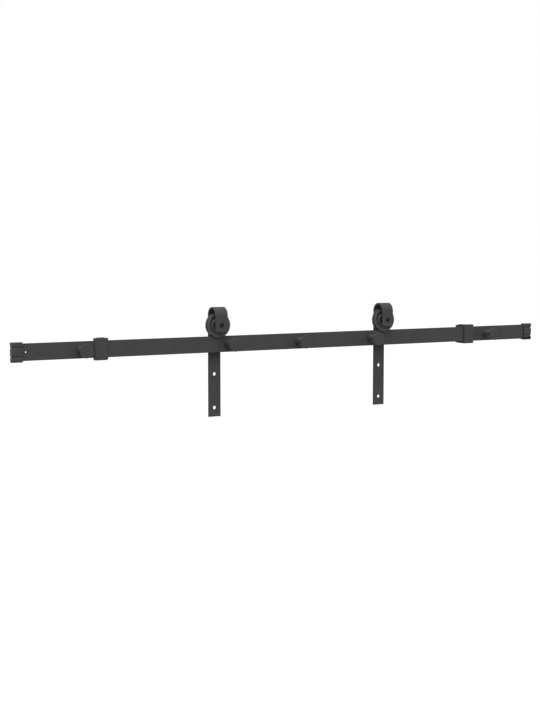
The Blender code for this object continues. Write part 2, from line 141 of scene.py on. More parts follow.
def turned(outline, segments):
    """A closed outline of (radius, y) points turned about Y. Points on the axis become poles."""
    shape = bmesh.new()
    rings = []
    for radius, y in outline:
        if radius < 1e-7:
            rings.append([shape.verts.new((0, y, 0))] * segments)
            continue
        turns = [math.tau * step / segments for step in range(segments)]
        points = [(radius * math.cos(turn), y, radius * math.sin(turn)) for turn in turns]
        rings.append([shape.verts.new(point) for point in points])
    for first, second in zip(rings, rings[1:] + rings[:1]):
        band(shape, first, second)
    return shape


def pushed(outline, start, end, axis):
    """A closed outline pushed from one depth to another along an axis."""
    shape = bmesh.new()
    ends = []
    for depth in (start, end):
        points = [(*point[:axis], depth, *point[axis:]) for point in outline]
        ends.append([shape.verts.new(point) for point in points])
        shape.faces.new(ends[-1])
    band(shape, *ends)
    return shape


def oblong(left, bottom, right, top):
    """The outline of a rectangle."""
    return [(left, bottom), (right, bottom), (right, top), (left, top)]


def block(low, high):
    """A box between two corners."""
    return pushed(oblong(low[0], low[2], high[0], high[2]), low[1], high[1], Y)


def rod(radius, start, end, x=0.0, z=0.0, segments=64):
    """A round rod along Y, used as a drill."""
    shape = turned([(0, start), (radius, start), (radius, end), (0, end)], segments)
    bmesh.ops.translate(shape, vec=(x, 0, z), verts=shape.verts)
    return shape


def joined(shapes):
    """Several loose shapes in one bmesh, such as a set of drills."""
    whole, *others = shapes
    for other in others:
        spare = bpy.data.meshes.new("spare")
        other.to_mesh(spare)
        other.free()
        whole.from_mesh(spare)
        bpy.data.meshes.remove(spare)
    return whole


# %% [markdown]
# ## One way to put a piece in its place
#
# Each finished piece is an object with its origin on its own natural point, such as the axis of a
# bolt. It hides the node that it stands for, rides on the same body, and names the finish slot
# that the record gives that node. Holes are cut with exact Booleans, and the result is kept as
# plain mesh, so that no drill is left in the scene. The record says which body and which slot a
# node has, so both are looked up there and can't be mistyped.

# %% Cutting, rounding and placing
BODY_OF = {
    node: body
    for body, nodes in frame["record"]["behaviour"]["bodies"].items()
    for node in nodes
}
SLOT_OF = {row["node"]: row["material_slot"] for row in frame["record"]["subparts"]}
ROUNDED_FROM = math.radians(32)  # an edge that turns more than this gets a small radius
SHARP_FROM = math.radians(50)  # an edge that still turns more than this keeps its hard line
finishes = {}
triangles = {}


def plain_object(name, shape, place=(0, 0, 0)):
    """A bmesh as an object, with its faces turned outwards and shaded smooth."""
    bmesh.ops.recalc_face_normals(shape, faces=shape.faces)
    mesh = bpy.data.meshes.new(name)
    shape.to_mesh(mesh)
    shape.free()
    mesh.shade_smooth()
    thing = bpy.data.objects.new(name, mesh)
    thing.location = place
    bpy.context.scene.collection.objects.link(thing)
    return thing


def keep_modifiers(thing):
    """Replaces an object's mesh by what its modifiers make of it."""
    bpy.context.view_layer.update()
    graph = bpy.context.evaluated_depsgraph_get()
    mesh = bpy.data.meshes.new_from_object(thing.evaluated_get(graph))
    thing.modifiers.clear()
    old = thing.data
    thing.data = mesh
    bpy.data.meshes.remove(old)


def cut(thing, shape, operation="DIFFERENCE"):
    """Takes a shape out of an object, keeps what they share or joins them. Both have one origin."""
    tool = plain_object("tool", shape, thing.location)
    modifier = thing.modifiers.new("cut", "BOOLEAN")
    modifier.operation = operation
    modifier.solver = "EXACT"
    modifier.object = tool
    keep_modifiers(thing)
    bpy.data.meshes.remove(tool.data)


def soften(thing, width, segments=3):
    """Rounds every sharp edge of a piece."""
    modifier = thing.modifiers.new("rounding", "BEVEL")
    modifier.width = width
    modifier.segments = segments
    modifier.limit_method = "ANGLE"
    modifier.angle_limit = ROUNDED_FROM
    modifier.miter_outer = "MITER_ARC"
    keep_modifiers(thing)


def stands_for(thing, node):
    """Lets a finished piece take the place of one node of the frame."""
    thing.name = f"{node}_finished"
    thing.data.shade_smooth()
    thing.data.set_sharp_from_angle(angle=SHARP_FROM)
    flatten = thing.modifiers.new("flat faces stay flat", "WEIGHTED_NORMAL")
    flatten.keep_sharp = True
    thing.data.materials.clear()
    thing.data.materials.append(finishes[SLOT_OF[node]])
    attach(thing, BODY_OF[node])
    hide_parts(node)
    triangles[node] = sum(len(face.vertices) - 2 for face in thing.data.polygons)
    return thing


def turned_piece(node, outline, edge, segments, place):
    """A piece that needs nothing but turning."""
    return stands_for(plain_object(node, turned(rounded(outline, edge), segments), place), node)


# %% [markdown]
# ## Shader groups shared by the finishes
#
# Five of the six finishes are black, so what tells them apart is how the surface breaks the light.
# Powder coat has a fine orange-peel grain, bolts and bearing races carry the fine rings that a
# lathe leaves, edges are rubbed a little thinner by handling, and on the coats they also carry a
# painted sheen in place of their highlights, and dust settles on whatever faces up. Each of these
# is one shader group with named inputs, built once. The groups only give masks and heights; the
# Principled shader stays in each material, where the export can read it.

# %% Small helpers for shader trees
PATTERNS_APART = 50.0  # how far apart in the noise the patterns of two pieces can lie


def new_group(name, inputs, outputs):
    """An empty shader group with named number sockets, and its input and output nodes."""
    tree = bpy.data.node_groups.new(name, "ShaderNodeTree")
    for label, value in inputs.items():
        socket = tree.interface.new_socket(label, in_out="INPUT", socket_type="NodeSocketFloat")
        socket.default_value = value
    for label in outputs:
        tree.interface.new_socket(label, in_out="OUTPUT", socket_type="NodeSocketFloat")
    return tree, tree.nodes.new("NodeGroupInput"), tree.nodes.new("NodeGroupOutput")


def feed(tree, socket, value):
    """Sets an input to a number, or links an output to it."""
    if isinstance(value, bpy.types.NodeSocket):
        tree.links.new(value, socket)
    else:
        socket.default_value = value


def calculate(tree, operation, first, second=0.0):
    """One Math node and its result."""
    node = tree.nodes.new("ShaderNodeMath")
    node.operation = operation
    feed(tree, node.inputs[0], first)
    feed(tree, node.inputs[1], second)
    return node.outputs[0]


def ramp(tree, value, from_low, from_high, to_low=0.0, to_high=1.0):
    """Moves a value from one range to another, smoothly and without going past its ends."""
    node = tree.nodes.new("ShaderNodeMapRange")
    node.interpolation_type = "SMOOTHSTEP"
    for label, number in (
        ("Value", value),
        ("From Min", from_low),
        ("From Max", from_high),
        ("To Min", to_low),
        ("To Max", to_high),
    ):
        feed(tree, node.inputs[label], number)
    return node.outputs["Result"]


def noise(tree, spacing, detail=2.0):
    """Noise over the piece's own coordinates. Each piece gets its own pattern."""
    place = tree.nodes.new("ShaderNodeTexCoord")
    piece = tree.nodes.new("ShaderNodeObjectInfo")
    node = tree.nodes.new("ShaderNodeTexNoise")
    node.noise_dimensions = "4D"
    tree.links.new(place.outputs["Object"], node.inputs["Vector"])
    own_place = calculate(tree, "MULTIPLY", piece.outputs["Random"], PATTERNS_APART)
    feed(tree, node.inputs["W"], own_place)
    feed(tree, node.inputs["Scale"], calculate(tree, "DIVIDE", 1.0, spacing))
    node.inputs["Detail"].default_value = detail
    return node.outputs["Fac"]


# %% [markdown]
# Orange peel is what a sprayed or baked coat does as it flows: low, soft bumps about half a
# millimetre apart. A Voronoi pattern would look like leather, so plain noise is used. A second,
# much wider noise makes the coat a little duller here and shinier there, as it always is.

# %% Group: coat grain
PATCH_TO_GRAIN = 45.0  # width of a patch, in grains
grain_group, given, result = new_group("coat grain", {"Spacing": 0.0006}, ("Height", "Mottle"))
spacing = given.outputs["Spacing"]
feed(grain_group, result.inputs["Height"], noise(grain_group, spacing))
patches = noise(grain_group, calculate(grain_group, "MULTIPLY", spacing, PATCH_TO_GRAIN), 3.0)
feed(grain_group, result.inputs["Mottle"], ramp(grain_group, patches, 0.35, 0.65))
print("group:", grain_group.name)

# %% [markdown]
# Edge wear, and the painted sheen that the coats carry in place of their edge highlights, need to
# know where the edges are. The Bevel node looks a short way round each point and gives the normal
# that a rounder edge would have. Where that differs from the true normal, an edge is near. It works
# on any mesh, while the Pointiness output would spread over the large flat faces of a rail. Noise
# then breaks the line up, because nobody rubs an edge evenly.

# %% Group: edge wear and painted sheen
reach_and_breakup = {"Reach": 0.0008, "Breakup": 0.012}
edge_group, given, result = new_group("edge wear and painted sheen", reach_and_breakup, ("Mask",))
bevel_node = edge_group.nodes.new("ShaderNodeBevel")
bevel_node.samples = 6
feed(edge_group, bevel_node.inputs["Radius"], given.outputs["Reach"])
true_normal = edge_group.nodes.new("ShaderNodeNewGeometry").outputs["Normal"]
likeness = edge_group.nodes.new("ShaderNodeVectorMath")
likeness.operation = "DOT_PRODUCT"
edge_group.links.new(bevel_node.outputs["Normal"], likeness.inputs[0])
edge_group.links.new(true_normal, likeness.inputs[1])
edge = ramp(edge_group, likeness.outputs["Value"], 0.99, 0.86)
patches = ramp(edge_group, noise(edge_group, given.outputs["Breakup"], 4.0), 0.42, 0.68)
feed(edge_group, result.inputs["Mask"], calculate(edge_group, "MULTIPLY", edge, patches))
print("group:", edge_group.name)

# %% [markdown]
# Dust settles on what faces up, and thinly on what leans a little. The upward part of the normal
# is the mask, and noise makes it patchy.

# %% Group: settled dust
dust_group, given, result = new_group("settled dust", {"Patch": 0.03, "Amount": 0.3}, ("Mask",))
facing = dust_group.nodes.new("ShaderNodeSeparateXYZ")
true_normal = dust_group.nodes.new("ShaderNodeNewGeometry").outputs["Normal"]
dust_group.links.new(true_normal, facing.inputs[0])
upward = ramp(dust_group, facing.outputs["Z"], 0.45, 0.98)
patches = ramp(dust_group, noise(dust_group, given.outputs["Patch"], 5.0), 0.3, 0.75)
amount = calculate(dust_group, "MULTIPLY", patches, given.outputs["Amount"])
feed(dust_group, result.inputs["Mask"], calculate(dust_group, "MULTIPLY", upward, amount))
print("group:", dust_group.name)

# %% [markdown]
# A lathe leaves rings round the axis: circles on an end face, and hoops on a shank. Every turned
# piece here has its axis along its own Y, so the distance from the axis plus the distance along it
# counts the rings on both kinds of face.

# %% Group: turning rings
ring_group, given, result = new_group("turning rings", {"Spacing": 0.0002}, ("Height",))
place = ring_group.nodes.new("ShaderNodeTexCoord")
parts = ring_group.nodes.new("ShaderNodeSeparateXYZ")
ring_group.links.new(place.outputs["Object"], parts.inputs[0])
across = calculate(ring_group, "POWER", parts.outputs["X"], 2.0)
up = calculate(ring_group, "POWER", parts.outputs["Z"], 2.0)
from_axis = calculate(ring_group, "SQRT", calculate(ring_group, "ADD", across, up))
travelled = calculate(ring_group, "ADD", from_axis, parts.outputs["Y"])
counted = calculate(ring_group, "DIVIDE", travelled, given.outputs["Spacing"])
rings = ring_group.nodes.new("ShaderNodeTexNoise")
rings.noise_dimensions = "1D"
rings.inputs["Scale"].default_value = 1.0
rings.inputs["Detail"].default_value = 1.0
feed(ring_group, rings.inputs["W"], counted)
feed(ring_group, result.inputs["Height"], rings.outputs["Fac"])
print("group:", ring_group.name)

# %% [markdown]
# ## The six finishes
#
# A material starts as a Principled shader with its plain values on its own sockets, and every
# finish is a little uneven, so the coat grain goes in at once. The other helpers place a group,
# blend a colour by a mask and add a bump. Black paint isn't black: a powder coat returns four or
# five percent of the light, so the colours are dark greys. They are very slightly cool, as carbon
# black is.

# %% Helpers for materials
def place_group(tree, group, **values):
    """One use of a shader group, with its own values."""
    node = tree.nodes.new("ShaderNodeGroup")
    node.node_tree = group
    for label, value in values.items():
        node.inputs[label].default_value = value
    return node.outputs


def tint(tree, under, over, mask):
    """One colour over another by a mask. The lower one is a colour or a socket."""
    node = tree.nodes.new("ShaderNodeMix")
    node.data_type = "RGBA"
    feed(tree, node.inputs["Factor"], mask)
    feed(tree, node.inputs["A"], under if isinstance(under, bpy.types.NodeSocket) else (*under, 1))
    node.inputs["B"].default_value = (*over, 1)
    return node.outputs["Result"]


def new_finish(slot, colours, roughness, spacing, metallic=0.0, specular=0.5):
    """A material for one slot of the record.

    Its colour and its roughness each lie between two values and change from patch to patch. They
    are given back with the grain that does it, so that more can be laid over them.
    """
    material = bpy.data.materials.new(slot.replace("_", " "))
    material.use_nodes = True
    material.diffuse_color = (*colours[0], 1)
    tree = material.node_tree
    shader = tree.nodes["Principled BSDF"]
    shader.inputs["Base Color"].default_value = (*colours[0], 1)
    shader.inputs["Roughness"].default_value = sum(roughness) / 2
    shader.inputs["Metallic"].default_value = metallic
    shader.inputs["Specular IOR Level"].default_value = specular
    finishes[slot] = material
    grain = place_group(tree, grain_group, Spacing=spacing)
    colour = tint(tree, *colours, grain["Mottle"])
    return tree, shader, grain, colour, ramp(tree, grain["Mottle"], 0.0, 1.0, *roughness)


def coat(tree, shader, colour, roughness):
    """Feeds a shader's colour and roughness."""
    tree.links.new(colour, shader.inputs["Base Color"])
    tree.links.new(roughness, shader.inputs["Roughness"])


def bump(tree, shader, heights):
    """Chains a Bump node for each (height, distance in metres) and feeds the shader's normal."""
    normal = None
    for height, distance in heights:
        node = tree.nodes.new("ShaderNodeBump")
        node.inputs["Distance"].default_value = distance
        tree.links.new(height, node.inputs["Height"])
        if normal:
            tree.links.new(normal, node.inputs["Normal"])
        normal = node.outputs["Normal"]
    tree.links.new(normal, shader.inputs["Normal"])


# %% [markdown]
# The rail, spacers, stops and straps are steel with a baked matt powder coat. Its grain is a real
# height, so it goes into the bump. Wear takes the coat thinner and smoother at the edges, and their
# lighter colour is partly that wear and partly a painted sheen in place of edge highlights. Dust
# dulls the upper faces.

# %% Finish: powder coat
COAT_BLACK = (0.0470, 0.0471, 0.0474)
COAT_PATCHES = (0.0525, 0.0526, 0.0529)
# Lighter colour on the edges: partly wear, partly a painted sheen in place of edge highlights.
COAT_EDGE_WEAR_AND_SHEEN = (0.075, 0.076, 0.078)
DUST = (0.30, 0.29, 0.27)
DUST_DULLS = 2.0  # roughness that full dust would add
RUBBING_SHINES = 0.14  # roughness that a bare edge loses
tree, shader, grain, colour, dull = new_finish(
    "powder_coat", (COAT_BLACK, COAT_PATCHES), (0.50, 0.58), 0.0006, specular=0.12
)
edges = place_group(tree, edge_group, Reach=0.0008, Breakup=0.012)["Mask"]
dust = place_group(tree, dust_group, Patch=0.025, Amount=0.10)["Mask"]
# Painted edge sheen and wear: the edges take the lighter colour.
colour = tint(tree, colour, COAT_EDGE_WEAR_AND_SHEEN, edges)
dull = calculate(tree, "ADD", dull, calculate(tree, "MULTIPLY", dust, DUST_DULLS))
dull = calculate(tree, "SUBTRACT", dull, calculate(tree, "MULTIPLY", edges, RUBBING_SHINES))
coat(tree, shader, tint(tree, colour, DUST, dust), dull)
bump(tree, shader, [(grain["Height"], 0.00006)])
print("finish: powder coat")

# %% [markdown]
# The wheels carry the same black, on a turned surface. The coat is thinner, so its grain is finer,
# and the rings of the lathe can still be felt through it. Running on the rail polishes the floor
# of the groove, which a mask by the distance from the axle picks out.

# %% Finish: wheel coat
GROOVE_RADIUS = AXLE_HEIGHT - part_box("rail")[1].z - GAP
WHEEL_BLACK = (0.036, 0.036, 0.0363)
WHEEL_PATCHES = (0.042, 0.042, 0.0423)
POLISHED_TRACK = (0.085, 0.085, 0.087)
POLISH_SHINES = 0.18  # roughness that the track loses
tree, shader, grain, colour, dull = new_finish(
    "wheel_coat", (WHEEL_BLACK, WHEEL_PATCHES), (0.36, 0.44), 0.00045, specular=0.4
)
edges = place_group(tree, edge_group, Reach=0.0008, Breakup=0.010)["Mask"]
rings = place_group(tree, ring_group, Spacing=0.00035)["Height"]
place = tree.nodes.new("ShaderNodeTexCoord")
flattened = tree.nodes.new("ShaderNodeVectorMath")
flattened.operation = "MULTIPLY"
flattened.inputs[1].default_value = (1, 0, 1)
tree.links.new(place.outputs["Object"], flattened.inputs[0])
from_axle = tree.nodes.new("ShaderNodeVectorMath")
from_axle.operation = "LENGTH"
tree.links.new(flattened.outputs["Vector"], from_axle.inputs[0])
off_track = calculate(tree, "SUBTRACT", from_axle.outputs["Value"], GROOVE_RADIUS)
track = ramp(tree, calculate(tree, "ABSOLUTE", off_track), 0.0002, 0.0, 0.0, 0.7)
# Painted edge sheen and wear: the wheel's edges take the coat's lighter edge colour.
colour = tint(tree, colour, COAT_EDGE_WEAR_AND_SHEEN, edges)
dull = calculate(tree, "SUBTRACT", dull, calculate(tree, "MULTIPLY", track, POLISH_SHINES))
coat(tree, shader, tint(tree, colour, POLISHED_TRACK, track), dull)
bump(tree, shader, [(grain["Height"], 0.00003), (rings, 0.00001)])
print("finish: wheel coat")

# %% [markdown]
# The end caps are moulded in black plastic. A mould is spark-eroded, so the plastic has a very
# fine, even grain and no wear. It is a little duller than the coat.

# %% Finish: cap plastic
PLASTIC_BLACK = (0.0445, 0.0445, 0.045)
PLASTIC_PATCHES = (0.0495, 0.0495, 0.05)
tree, shader, grain, colour, dull = new_finish(
    "cap_plastic", (PLASTIC_BLACK, PLASTIC_PATCHES), (0.56, 0.64), 0.00028, specular=0.15
)
dust = place_group(tree, dust_group, Patch=0.012, Amount=0.08)["Mask"]
coat(tree, shader, tint(tree, colour, DUST, dust), dull)
bump(tree, shader, [(grain["Height"], 0.00004)])
print("finish: cap plastic")

# %% [markdown]
# Bumpers are solid rubber, the darkest and dullest piece. Rubber holds on to dust, and its skin
# has a soft, slightly wavy grain from the mould.

# %% Finish: rubber
RUBBER_BLACK = (0.022, 0.022, 0.0225)
RUBBER_PATCHES = (0.029, 0.029, 0.029)
RUBBER_BLOOM = (0.050, 0.050, 0.049)
tree, shader, grain, colour, dull = new_finish(
    "rubber", (RUBBER_BLACK, RUBBER_PATCHES), (0.74, 0.86), 0.0008, specular=0.35
)
edges = place_group(tree, edge_group, Reach=0.002, Breakup=0.006)["Mask"]
coat(tree, shader, tint(tree, colour, RUBBER_BLOOM, edges), dull)
bump(tree, shader, [(grain["Height"], 0.00005)])
print("finish: rubber")

# %% [markdown]
# Bolts, nuts and washers are blacked steel: the black is a thin oxide, so the metal still shows in
# its sheen. That is a dark colour with most of its Metallic left, and the turning rings in the
# bump.

# %% Finish: blacked bolts
OXIDE_BLACK = (0.015, 0.015, 0.0154)
OXIDE_PATCHES = (0.020, 0.020, 0.0205)
OXIDE_RUBBED = (0.055, 0.055, 0.056)
tree, shader, grain, colour, dull = new_finish(
    "bolt_coat", (OXIDE_BLACK, OXIDE_PATCHES), (0.38, 0.48), 0.0005, metallic=0.6, specular=0.25
)
edges = place_group(tree, edge_group, Reach=0.0005, Breakup=0.004)["Mask"]
rings = place_group(tree, ring_group, Spacing=0.00025)["Height"]
coat(tree, shader, tint(tree, colour, OXIDE_RUBBED, edges), dull)
bump(tree, shader, [(grain["Height"], 0.000015), (rings, 0.000012)])
print("finish: blacked bolts")

# %% [markdown]
# Bearing races and balls are ground steel with a film of grease. They are fully metallic, fairly
# smooth, and finely ringed. The grease is where the mottle makes them duller and browner.

# %% Finish: bearing steel
STEEL = (0.52, 0.52, 0.53)
GREASED_STEEL = (0.36, 0.33, 0.28)
tree, shader, grain, colour, dull = new_finish(
    "bearing_steel", (STEEL, GREASED_STEEL), (0.20, 0.42), 0.0001, metallic=1.0
)
rings = place_group(tree, ring_group, Spacing=0.00012)["Height"]
coat(tree, shader, colour, dull)
bump(tree, shader, [(rings, 0.000004)])
print("finish: bearing steel")

# %% [markdown]
# ## The rail
#
# The rail is a flat bar, rolled, sawn to length, drilled and then coated. It could be one swept
# profile, but the holes would still have to be cut. So it starts as a block, is drilled where the
# spacers stand, and has every edge rounded at once, the rims of the holes included.

# %% Build: rail
FIXING_BORE = 0.0044
END_HOLE_RADIUS = 0.0021
END_HOLE_INSET = 0.0316
RAIL_EDGE = 0.0005

rail_low, rail_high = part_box("rail")
rail = plain_object("rail", block(rail_low, rail_high))
holes = [(middle(f"spacer_{number}").x, FIXING_BORE) for number in SPACERS]
holes.append((rail_low.x + END_HOLE_INSET, END_HOLE_RADIUS))
cut(rail, joined([rod(radius, rail_low.y - 0.01, rail_high.y + 0.01, x) for x, radius in holes]))
soften(rail, RAIL_EDGE)
stands_for(rail, "rail")
print("rail:", len(holes), "holes,", triangles["rail"], "triangles")

# %% [markdown]
# ## Spacers
#
# A spacer keeps the rail clear of the wall. It is turned from bar, with a wide foot against the
# wall and a narrower neck that the rail sits on. The corner between the two is a small fillet,
# because no turning tool has a sharp tip. An outline with its own radius at each corner gives all
# of that. A thin skin of coat lies over the mouth of the bore, so that the foot shows one plain
# face.

# %% Build: spacers
NECK_RADIUS = 0.0096
FOOT_THICKNESS = 0.0035
SPACER_EDGE = 0.0006
FOOT_FILLET = 0.0012
SKIN = 0.0004  # over the mouth of the bore


def make_spacer(number):
    node = f"spacer_{number}"
    low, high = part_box(node)
    foot = size(node).x / 2
    outline = [
        (0, low.y, 0),
        (foot, low.y),
        (foot, FOOT_THICKNESS),
        (NECK_RADIUS, FOOT_THICKNESS, FOOT_FILLET),
        (NECK_RADIUS, high.y, 0.0004),
        (FIXING_BORE, high.y, 0.0003),
        (FIXING_BORE, low.y + SKIN, 0),
        (0, low.y + SKIN, 0),
    ]
    return turned_piece(node, outline, SPACER_EDGE, 96, (middle(node).x, 0, 0))


for number in SPACERS:
    make_spacer(number)
print("spacers:", len(SPACERS), "of", triangles["spacer_1"], "triangles")

# %% [markdown]
# ## Bolt heads, nuts and threads
#
# A hexagon bar is turned down at its ends, which leaves the curved lines on a bolt head where the
# cone meets each flat. The same two shapes crossed in a Boolean leave the same lines. A thread is
# a helix, so a ring of points round the shank can't all have one radius: each point is pushed in
# by how far it lies from the crest, counted along the axis and round it together.

# %% Hexagons and threads
HEX_TURNED_TO = 0.96  # radius of the flat face left on a hexagon, as a share of half its width
HEX_EDGE = 0.0002
CUTTER_PAST = 1.02  # radius of the cone's wide end, as a share of the hexagon's corners
ROWS_PER_TURN = 8
THREADED_FROM = 0.8  # points nearer the axis than this share of the radius aren't on the thread


def hexagon(across_flats):
    corner = across_flats / 2 / math.cos(math.pi / 6)
    turns = [math.tau * number / 6 for number in range(6)]
    return [(corner * math.sin(turn), corner * math.cos(turn)) for turn in turns]


def turned_down(across_flats, low, high, both_ends):
    """The solid that is left of a hexagon bar when its ends are turned to a 30 degree cone."""
    face = HEX_TURNED_TO * across_flats / 2
    corner = CUTTER_PAST * across_flats / 2 / math.cos(math.pi / 6)
    rise = (corner - face) * math.tan(math.pi / 6)
    inner_end = [(face, low), (corner, low + rise)] if both_ends else [(corner, low)]
    outline = [(0, low)] + inner_end + [(corner, high - rise), (face, high), (0, high)]
    return turned(outline, 96)


def thread_rows(radius, start, end, pitch):
    """Points up a shank, close enough together to carry a thread."""
    rows = round((end - start) / pitch * ROWS_PER_TURN)
    return [(radius, start + (end - start) * row / rows) for row in range(rows + 1)]


def cut_thread(shape, radius, start, end, pitch, depth):
    """Sinks a helical groove into the points of a turned shank between two depths along Y."""
    for point in shape.verts:
        across = math.hypot(point.co.x, point.co.z)
        if not (start < point.co.y < end and across > THREADED_FROM * radius):
            continue
        turn = math.atan2(point.co.z, point.co.x) / math.tau
        crest = abs(2 * ((point.co.y / pitch - turn) % 1) - 1)
        fade = min(1, (point.co.y - start) / pitch, (end - point.co.y) / pitch)
        pull = 1 - depth * fade * (1 - crest) / across
        point.co.x *= pull
        point.co.z *= pull


# %% [markdown]
# ## Fixing bolts and their washers
#
# Each spacer takes one long hex-head bolt from the room side, through a washer, the rail and the
# spacer. Its wall end carries a coarse thread. The head has a thin round face under it, so that it
# turns without scraping the washer.

# %% Build: fixing bolts and washers
BOLT_RADIUS = 0.004
BOLT_PITCH = 0.0022
BOLT_THREAD_DEPTH = 0.0006
BOLT_THREAD_LENGTH = 0.026
TIP_SHARE = 0.75  # radius of the tip, as a share of the shank's
TIP_LENGTH = 0.001
HEAD_HEIGHT = 0.0053
HEAD_FACE = 0.0004
FACE_SHARE = 0.46  # radius of the round face under the head, as a share of the head's width
CORE_SETBACK = 0.001  # the shank ends this far inside the head
WASHER_EDGE = 0.0004


def make_fixing_bolt(number):
    node = f"fixing_bolt_{number}"
    low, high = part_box(node)
    width = size(node).x
    head_low = high.y - HEAD_HEIGHT
    thread_end = low.y + BOLT_THREAD_LENGTH
    inside_head = high.y - CORE_SETBACK
    shank = [(0, low.y), (TIP_SHARE * BOLT_RADIUS, low.y)]
    shank += thread_rows(BOLT_RADIUS, low.y + TIP_LENGTH, thread_end, BOLT_PITCH)
    shank += [(BOLT_RADIUS, head_low - 0.0002), (FACE_SHARE * width, head_low)]
    shank += [(FACE_SHARE * width, inside_head), (0, inside_head)]
    shape = turned(shank, 48)
    cut_thread(shape, BOLT_RADIUS, low.y, thread_end, BOLT_PITCH, BOLT_THREAD_DEPTH)
    head = pushed(hexagon(width), head_low + HEAD_FACE, high.y, Y)
    bolt = plain_object(node, head, (middle(node).x, 0, 0))
    cut(bolt, turned_down(width, head_low, high.y, both_ends=False), "INTERSECT")
    soften(bolt, HEX_EDGE, 2)
    cut(bolt, shape, "UNION")
    return stands_for(bolt, node)


def make_washer(node, bore):
    """A stamped washer, rounder on the side where the punch came in."""
    low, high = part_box(node)
    edge = size(node).x / 2
    outline = [(bore, low.y, 0.0002), (edge, low.y, 0.0002), (edge, high.y), (bore, high.y)]
    place = middle(node)
    outline = [(radius, y - place.y, *corner) for radius, y, *corner in outline]
    return turned_piece(node, outline, WASHER_EDGE, 80, place)


for number in SPACERS:
    make_fixing_bolt(number)
    make_washer(f"fixing_washer_{number}", FIXING_BORE)
print("triangles:", triangles["fixing_bolt_1"], "a bolt,", triangles["fixing_washer_1"], "a washer")

# %% [markdown]
# ## End caps
#
# A cap is moulded plastic, pushed over the rail's end. Two round-bottomed grooves run along each
# broad face and on round the closed end, and leave three soft lobes. The section is an outline
# with the grooves in it, pushed along the rail. The end grooves are cut with the same curve turned
# a quarter, so that they meet the others at the corner.

# %% Build: end caps
CAP_END_WALL = 0.0024
CAP_CORNER = 0.0016
CAP_EDGE = 0.0007
GROOVE_HEIGHT = 0.0108
GROOVE_HALF_WIDTH = 0.0037
GROOVE_DEPTH = 0.0021
END_GROOVE_DEPTH = 0.0008
GROOVE_STEPS = 16
CUT_PAST = 0.002  # how far a cutter reaches past the end of the cap


def groove(centre, depth):
    """A round-bottomed groove as (height, depth) points, from its lower lip to its upper lip."""
    points = []
    for step in range(GROOVE_STEPS + 1):
        share = 2 * step / GROOVE_STEPS - 1
        dip = depth * math.cos(share * math.pi / 2) ** 2
        points.append((centre + share * GROOVE_HALF_WIDTH, dip))
    return points


def make_end_cap(side):
    node = f"end_cap_{side}"
    sign = 1 if side == "right" else -1
    low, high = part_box(node)
    half_depth, half_height = size(node).y / 2, size(node).z / 2
    broad_side = [(half_depth, -half_height, CAP_CORNER)]
    for centre in (-GROOVE_HEIGHT, GROOVE_HEIGHT):
        broad_side += [(half_depth - dip, z, 0) for z, dip in groove(centre, GROOVE_DEPTH)]
    broad_side += [(half_depth, half_height, CAP_CORNER)]
    outline = rounded(broad_side + [(-y, -z, radius) for y, z, radius in broad_side], CAP_CORNER)
    closed, opened = (high.x, low.x) if side == "right" else (low.x, high.x)
    cap = plain_object(node, pushed(outline, 0, opened - closed, X), (closed, RAIL_MIDDLE, 0))
    for centre in (-GROOVE_HEIGHT, GROOVE_HEIGHT):
        curve = [(-sign * dip, z) for z, dip in groove(centre, END_GROOVE_DEPTH)]
        past_end = [(sign * CUT_PAST, curve[-1][1]), (sign * CUT_PAST, curve[0][1])]
        cut(cap, pushed(curve + past_end, -2 * half_depth, 2 * half_depth, Y))
    pocket = Vector((0, size("rail").y / 2 + GAP, size("rail").z / 2 + GAP))
    start, end = sorted((-sign * CAP_END_WALL, 2 * (opened - closed)))
    cut(cap, block((start, -pocket.y, -pocket.z), (end, pocket.y, pocket.z)))
    soften(cap, CAP_EDGE)
    return stands_for(cap, node)


for side in SIDES:
    make_end_cap(side)
print("end cap:", triangles["end_cap_left"], "triangles")

# %% [markdown]
# ## Stops and their bumpers
#
# A stop is a steel clip bent round the rail. On the room side its inner half carries a block, and
# a rubber bumper on the block meets the hanger. Seen from above, clip and block are one outline,
# pushed up through the height of the clip. The slot for the rail and the two screw holes are cut
# through it. The screws are headless, with a hexagon socket, and press on the rail.

# %% Build: stops
STOP_ROOM_FACE = 0.0058  # from the rail's middle plane
STOP_EDGE = 0.0005


def make_stop(side):
    node = f"stop_{side}"
    inward = 1 if side == "left" else -1
    low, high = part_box(node)
    place = Vector((middle(node).x, RAIL_MIDDLE, 0))
    half = size(node).x / 2
    back, front = low.y - RAIL_MIDDLE, high.y - RAIL_MIDDLE
    outline = [(-half, back), (half, back), (half, front), (0, front)]
    outline += [(0, STOP_ROOM_FACE), (-half, STOP_ROOM_FACE)]
    outline = [(inward * x, y) for x, y in outline]
    stop = plain_object(node, pushed(outline, low.z, high.z, Z), place)
    slot_y, slot_z = size("rail").y / 2 + GAP, size("rail").z / 2 + GAP
    cut(stop, block((-2 * half, -slot_y, -slot_z), (2 * half, slot_y, slot_z)))
    holes = []
    for level in ("lower", "upper"):
        screw = middle(f"stop_screw_{side}_{level}") - place
        bore = size(f"stop_screw_{side}_{level}").x / 2 + GAP
        holes.append(rod(bore, 0, 2 * front, screw.x, screw.z))
    cut(stop, joined(holes))
    soften(stop, STOP_EDGE)
    return stands_for(stop, node)


for side in SIDES:
    make_stop(side)
print("stop:", triangles["stop_left"], "triangles")

# %% Build: bumpers
BUMPER_EDGE = 0.0008
CROSS_EDGE_SHARE = 0.7  # radius of the edges round its two ends, as a share of the long ones
BUMPER_CROWN = 0.0004  # how far the face that gets hit stands back at its rim


